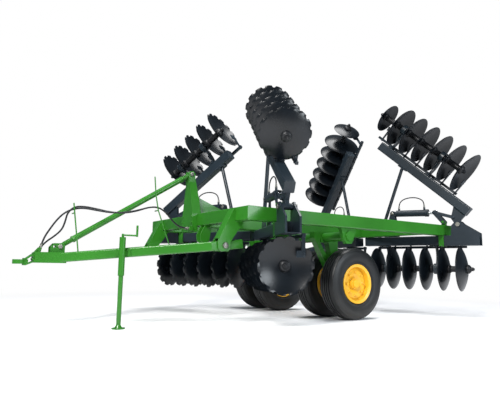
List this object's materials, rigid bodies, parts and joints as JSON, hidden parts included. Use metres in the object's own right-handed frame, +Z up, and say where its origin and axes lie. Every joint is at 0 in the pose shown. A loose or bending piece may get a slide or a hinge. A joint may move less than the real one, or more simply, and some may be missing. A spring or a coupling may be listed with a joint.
{
  "type": "folding tandem disc harrow",
  "caption": "Towed tandem disc harrow with centre gangs under a tube frame, four folding disc wings, twin transport wheels each side, a drawbar with levelling strut and a screw jack.",
  "frame": {"origin": "on the floor, under the middle of the object's box", "axes": "+X to the machine's left, -Y towards the hitch, +Z up"},
  "size_m": [3.4066, 5.7752, 3.1409],
  "materials": {
    "dark_paint": "satin blue-grey paint",
    "disc_steel": "dark oiled steel",
    "green_paint": "gloss green paint",
    "hose_rubber": "satin black hose",
    "rim_yellow": "gloss yellow paint",
    "rod_chrome": "polished",
    "tyre": "matte rubber"
  },
  "bodies": {
    "frame": {"front_cross_beam": "green_paint", "side_beams": "green_paint", "inner_beams": "green_paint", "mast": "green_paint", "levelling_strut": "green_paint", "drawbar": "green_paint", "hitch_tongue": "green_paint", "jack_tube": "green_paint", "hose_guide": "green_paint", "left_long_hose": "hose_rubber", "right_long_hose": "hose_rubber", "front_gang_beams": "dark_paint", "rear_gang_beams": "dark_paint", "gang_hangers": "dark_paint", "gang_scrapers": "dark_paint"},
    "jack_leg": {"jack_leg": "green_paint"},
    "wheel_axle": {"wheel_axle": "green_paint"},
    "lift_barrel": {"lift_barrel": "dark_paint"},
    "lift_rod": {"lift_rod": "rod_chrome"},
    "left_outer_wheel": {"left_outer_tyre": "tyre", "left_outer_rim": "rim_yellow"},
    "left_inner_wheel": {"left_inner_tyre": "tyre", "left_inner_rim": "rim_yellow"},
    "right_outer_wheel": {"right_outer_tyre": "tyre", "right_outer_rim": "rim_yellow"},
    "right_inner_wheel": {"right_inner_tyre": "tyre", "right_inner_rim": "rim_yellow"},
    "front_left_centre_gang": {"front_left_centre_discs": "disc_steel"},
    "front_left_wing": {"front_left_wing_beam": "dark_paint"},
    "front_left_wing_gang": {"front_left_wing_discs": "disc_steel"},
    "front_left_fold_barrel": {"front_left_fold_barrel": "dark_paint", "front_left_fold_hose": "hose_rubber"},
    "front_left_fold_rocker": {"front_left_fold_rocker": "dark_paint"},
    "front_left_fold_link": {"front_left_fold_link": "dark_paint"},
    "front_left_fold_rod": {"front_left_fold_rod": "rod_chrome"},
    "front_right_centre_gang": {"front_right_centre_discs": "disc_steel"},
    "front_right_wing": {"front_right_wing_beam": "dark_paint"},
    "front_right_wing_gang": {"front_right_wing_discs": "disc_steel"},
    "front_right_fold_barrel": {"front_right_fold_barrel": "dark_paint", "front_right_fold_hose": "hose_rubber"},
    "front_right_fold_rocker": {"front_right_fold_rocker": "dark_paint"},
    "front_right_fold_link": {"front_right_fold_link": "dark_paint"},
    "front_right_fold_rod": {"front_right_fold_rod": "rod_chrome"},
    "rear_left_centre_gang": {"rear_left_centre_discs": "disc_steel"},
    "rear_left_wing": {"rear_left_wing_beam": "dark_paint"},
    "rear_left_wing_gang": {"rear_left_wing_discs": "disc_steel"},
    "rear_left_fold_barrel": {"rear_left_fold_barrel": "dark_paint", "rear_left_fold_hose": "hose_rubber"},
    "rear_left_fold_rocker": {"rear_left_fold_rocker": "dark_paint"},
    "rear_left_fold_link": {"rear_left_fold_link": "dark_paint"},
    "rear_left_fold_rod": {"rear_left_fold_rod": "rod_chrome"},
    "rear_right_centre_gang": {"rear_right_centre_discs": "disc_steel"},
    "rear_right_wing": {"rear_right_wing_beam": "dark_paint"},
    "rear_right_wing_gang": {"rear_right_wing_discs": "disc_steel"},
    "rear_right_fold_barrel": {"rear_right_fold_barrel": "dark_paint", "rear_right_fold_hose": "hose_rubber"},
    "rear_right_fold_rocker": {"rear_right_fold_rocker": "dark_paint"},
    "rear_right_fold_link": {"rear_right_fold_link": "dark_paint"},
    "rear_right_fold_rod": {"rear_right_fold_rod": "rod_chrome"}
  },
  "joints": [
    {"name": "jack_slide", "type": "slide", "parent": "frame", "child": "jack_leg", "axis": [0, 0, 1], "range_m": [0, 0.2]},
    {"name": "axle_lift", "type": "hinge", "parent": "frame", "child": "wheel_axle", "pos_m": [0, 0.57494, 1.01], "axis": [1, 0, 0], "range_deg": [0, 35]},
    {"name": "lift_barrel_swing", "type": "hinge", "parent": "frame", "child": "lift_barrel", "pos_m": [0, 1.39494, 0.95], "axis": [1, 0, 0], "range_deg": [-1.06, 0]},
    {"name": "lift_rod_slide", "type": "slide", "parent": "lift_barrel", "child": "lift_rod", "axis": [0, -0.9767, -0.2144], "range_m": [-0.14564, 0]},
    {"name": "left_outer_wheel_spin", "type": "hinge", "parent": "wheel_axle", "child": "left_outer_wheel", "pos_m": [0.96, 0.83494, 0.44], "axis": [1, 0, 0], "continuous": true},
    {"name": "left_inner_wheel_spin", "type": "hinge", "parent": "wheel_axle", "child": "left_inner_wheel", "pos_m": [0.5, 0.83494, 0.44], "axis": [1, 0, 0], "continuous": true},
    {"name": "right_outer_wheel_spin", "type": "hinge", "parent": "wheel_axle", "child": "right_outer_wheel", "pos_m": [-0.96, 0.83494, 0.44], "axis": [1, 0, 0], "continuous": true},
    {"name": "right_inner_wheel_spin", "type": "hinge", "parent": "wheel_axle", "child": "right_inner_wheel", "pos_m": [-0.5, 0.83494, 0.44], "axis": [1, 0, 0], "continuous": true},
    {"name": "front_left_centre_gang_spin", "type": "hinge", "parent": "frame", "child": "front_left_centre_gang", "pos_m": [0.93693, -0.3378, 0.64], "axis": [0.9135, -0.4067, 0], "continuous": true},
    {"name": "front_left_wing_fold", "type": "hinge", "parent": "frame", "child": "front_left_wing", "pos_m": [1.38, -0.53506, 1.255], "axis": [0.4067, 0.9135, 0], "range_deg": [0, 146]},
    {"name": "front_left_wing_gang_spin", "type": "hinge", "parent": "front_left_wing", "child": "front_left_wing_gang", "pos_m": [0.92923, -0.33437, 2.32964], "axis": [-0.7574, 0.3372, 0.5592], "continuous": true},
    {"name": "front_left_fold_barrel_swing", "type": "hinge", "parent": "frame", "child": "front_left_fold_barrel", "pos_m": [0.5167, -0.1507, 1.46], "axis": [0.4067, 0.9135, 0], "range_deg": [0, 2.55]},
    {"name": "front_left_fold_rocker_swing", "type": "hinge", "parent": "frame", "child": "front_left_fold_rocker", "pos_m": [1.19272, -0.45168, 1.3], "axis": [0.4067, 0.9135, 0], "range_deg": [0, 97.99]},
    {"name": "front_left_fold_link_swing", "type": "hinge", "parent": "front_left_wing", "child": "front_left_fold_link", "pos_m": [1.29687, -0.49805, 1.35257], "axis": [0.4067, 0.9135, 0], "range_deg": [-123.86, 0]},
    {"name": "front_left_fold_rod_slide", "type": "slide", "parent": "front_left_fold_barrel", "child": "front_left_fold_rod", "axis": [0.9132, -0.4066, -0.0288], "range_m": [0, 0.27576]},
    {"name": "front_right_centre_gang_spin", "type": "hinge", "parent": "frame", "child": "front_right_centre_gang", "pos_m": [-0.93693, -0.3378, 0.64], "axis": [-0.9135, -0.4067, 0], "continuous": true},
    {"name": "front_right_wing_fold", "type": "hinge", "parent": "frame", "child": "front_right_wing", "pos_m": [-1.38, -0.53506, 1.255], "axis": [0.4067, -0.9135, 0], "range_deg": [0, 146]},
    {"name": "front_right_wing_gang_spin", "type": "hinge", "parent": "front_right_wing", "child": "front_right_wing_gang", "pos_m": [-0.92923, -0.33437, 2.32964], "axis": [0.7574, 0.3372, 0.5592], "continuous": true},
    {"name": "front_right_fold_barrel_swing", "type": "hinge", "parent": "frame", "child": "front_right_fold_barrel", "pos_m": [-0.5167, -0.1507, 1.46], "axis": [0.4067, -0.9135, 0], "range_deg": [0, 2.55]},
    {"name": "front_right_fold_rocker_swing", "type": "hinge", "parent": "frame", "child": "front_right_fold_rocker", "pos_m": [-1.19272, -0.45168, 1.3], "axis": [0.4067, -0.9135, 0], "range_deg": [0, 97.99]},
    {"name": "front_right_fold_link_swing", "type": "hinge", "parent": "front_right_wing", "child": "front_right_fold_link", "pos_m": [-1.29687, -0.49805, 1.35257], "axis": [0.4067, -0.9135, 0], "range_deg": [-123.86, 0]},
    {"name": "front_right_fold_rod_slide", "type": "slide", "parent": "front_right_fold_barrel", "child": "front_right_fold_rod", "axis": [-0.9132, -0.4066, -0.0288], "range_m": [0, 0.27576]},
    {"name": "rear_left_centre_gang_spin", "type": "hinge", "parent": "frame", "child": "rear_left_centre_gang", "pos_m": [0.92006, 2.40104, 0.64], "axis": [0.9483, 0.3173, 0], "continuous": true},
    {"name": "rear_left_wing_fold", "type": "hinge", "parent": "frame", "child": "rear_left_wing", "pos_m": [1.38, 2.55494, 1.255], "axis": [-0.3173, 0.9483, 0], "range_deg": [0, 138]},
    {"name": "rear_left_wing_gang_spin", "type": "hinge", "parent": "rear_left_wing", "child": "rear_left_wing_gang", "pos_m": [1.14655, 2.47683, 2.30422], "axis": [-0.7047, -0.2358, 0.6691], "continuous": true},
    {"name": "rear_left_fold_barrel_swing", "type": "hinge", "parent": "frame", "child": "rear_left_fold_barrel", "pos_m": [0.48383, 2.25508, 1.46], "axis": [-0.3173, 0.9483, 0], "range_deg": [0, 2.04]},
    {"name": "rear_left_fold_rocker_swing", "type": "hinge", "parent": "frame", "child": "rear_left_fold_rocker", "pos_m": [1.18559, 2.48989, 1.3], "axis": [-0.3173, 0.9483, 0], "range_deg": [0, 94.85]},
    {"name": "rear_left_fold_link_swing", "type": "hinge", "parent": "rear_left_wing", "child": "rear_left_fold_link", "pos_m": [1.30742, 2.53065, 1.36428], "axis": [-0.3173, 0.9483, 0], "range_deg": [-111.69, 0]},
    {"name": "rear_left_fold_rod_slide", "type": "slide", "parent": "rear_left_fold_barrel", "child": "rear_left_fold_rod", "axis": [0.9479, 0.3172, -0.0288], "range_m": [0, 0.2698]},
    {"name": "rear_right_centre_gang_spin", "type": "hinge", "parent": "frame", "child": "rear_right_centre_gang", "pos_m": [-0.92006, 2.40104, 0.64], "axis": [-0.9483, 0.3173, 0], "continuous": true},
    {"name": "rear_right_wing_fold", "type": "hinge", "parent": "frame", "child": "rear_right_wing", "pos_m": [-1.38, 2.55494, 1.255], "axis": [-0.3173, -0.9483, 0], "range_deg": [0, 138]},
    {"name": "rear_right_wing_gang_spin", "type": "hinge", "parent": "rear_right_wing", "child": "rear_right_wing_gang", "pos_m": [-1.14655, 2.47683, 2.30422], "axis": [0.7047, -0.2358, 0.6691], "continuous": true},
    {"name": "rear_right_fold_barrel_swing", "type": "hinge", "parent": "frame", "child": "rear_right_fold_barrel", "pos_m": [-0.48383, 2.25508, 1.46], "axis": [-0.3173, -0.9483, 0], "range_deg": [0, 2.04]},
    {"name": "rear_right_fold_rocker_swing", "type": "hinge", "parent": "frame", "child": "rear_right_fold_rocker", "pos_m": [-1.18559, 2.48989, 1.3], "axis": [-0.3173, -0.9483, 0], "range_deg": [0, 94.85]},
    {"name": "rear_right_fold_link_swing", "type": "hinge", "parent": "rear_right_wing", "child": "rear_right_fold_link", "pos_m": [-1.30742, 2.53065, 1.36428], "axis": [-0.3173, -0.9483, 0], "range_deg": [-111.69, 0]},
    {"name": "rear_right_fold_rod_slide", "type": "slide", "parent": "rear_right_fold_barrel", "child": "rear_right_fold_rod", "axis": [-0.9479, 0.3172, -0.0288], "range_m": [0, 0.2698]}
  ],
  "couplings": [
    {"joint": "lift_barrel_swing", "follows": "axle_lift", "ratio": -0.030299},
    {"joint": "lift_rod_slide", "follows": "axle_lift", "m_per_rad": -0.23515},
    {"joint": "front_left_fold_barrel_swing", "follows": "front_left_wing_fold", "ratio": 0.017469},
    {"joint": "front_left_fold_rocker_swing", "follows": "front_left_wing_fold", "ratio": 0.67114},
    {"joint": "front_left_fold_link_swing", "follows": "front_left_wing_fold", "ratio": -0.84833},
    {"joint": "front_left_fold_rod_slide", "follows": "front_left_wing_fold", "m_per_rad": 0.10743},
    {"joint": "front_right_fold_barrel_swing", "follows": "front_right_wing_fold", "ratio": 0.017469},
    {"joint": "front_right_fold_rocker_swing", "follows": "front_right_wing_fold", "ratio": 0.67114},
    {"joint": "front_right_fold_link_swing", "follows": "front_right_wing_fold", "ratio": -0.84833},
    {"joint": "front_right_fold_rod_slide", "follows": "front_right_wing_fold", "m_per_rad": 0.10743},
    {"joint": "rear_left_fold_barrel_swing", "follows": "rear_left_wing_fold", "ratio": 0.014756},
    {"joint": "rear_left_fold_rocker_swing", "follows": "rear_left_wing_fold", "ratio": 0.68731},
    {"joint": "rear_left_fold_link_swing", "follows": "rear_left_wing_fold", "ratio": -0.80933},
    {"joint": "rear_left_fold_rod_slide", "follows": "rear_left_wing_fold", "m_per_rad": 0.11119},
    {"joint": "rear_right_fold_barrel_swing", "follows": "rear_right_wing_fold", "ratio": 0.014756},
    {"joint": "rear_right_fold_rocker_swing", "follows": "rear_right_wing_fold", "ratio": 0.68731},
    {"joint": "rear_right_fold_link_swing", "follows": "rear_right_wing_fold", "ratio": -0.80933},
    {"joint": "rear_right_fold_rod_slide", "follows": "rear_right_wing_fold", "m_per_rad": 0.11119}
  ]
}
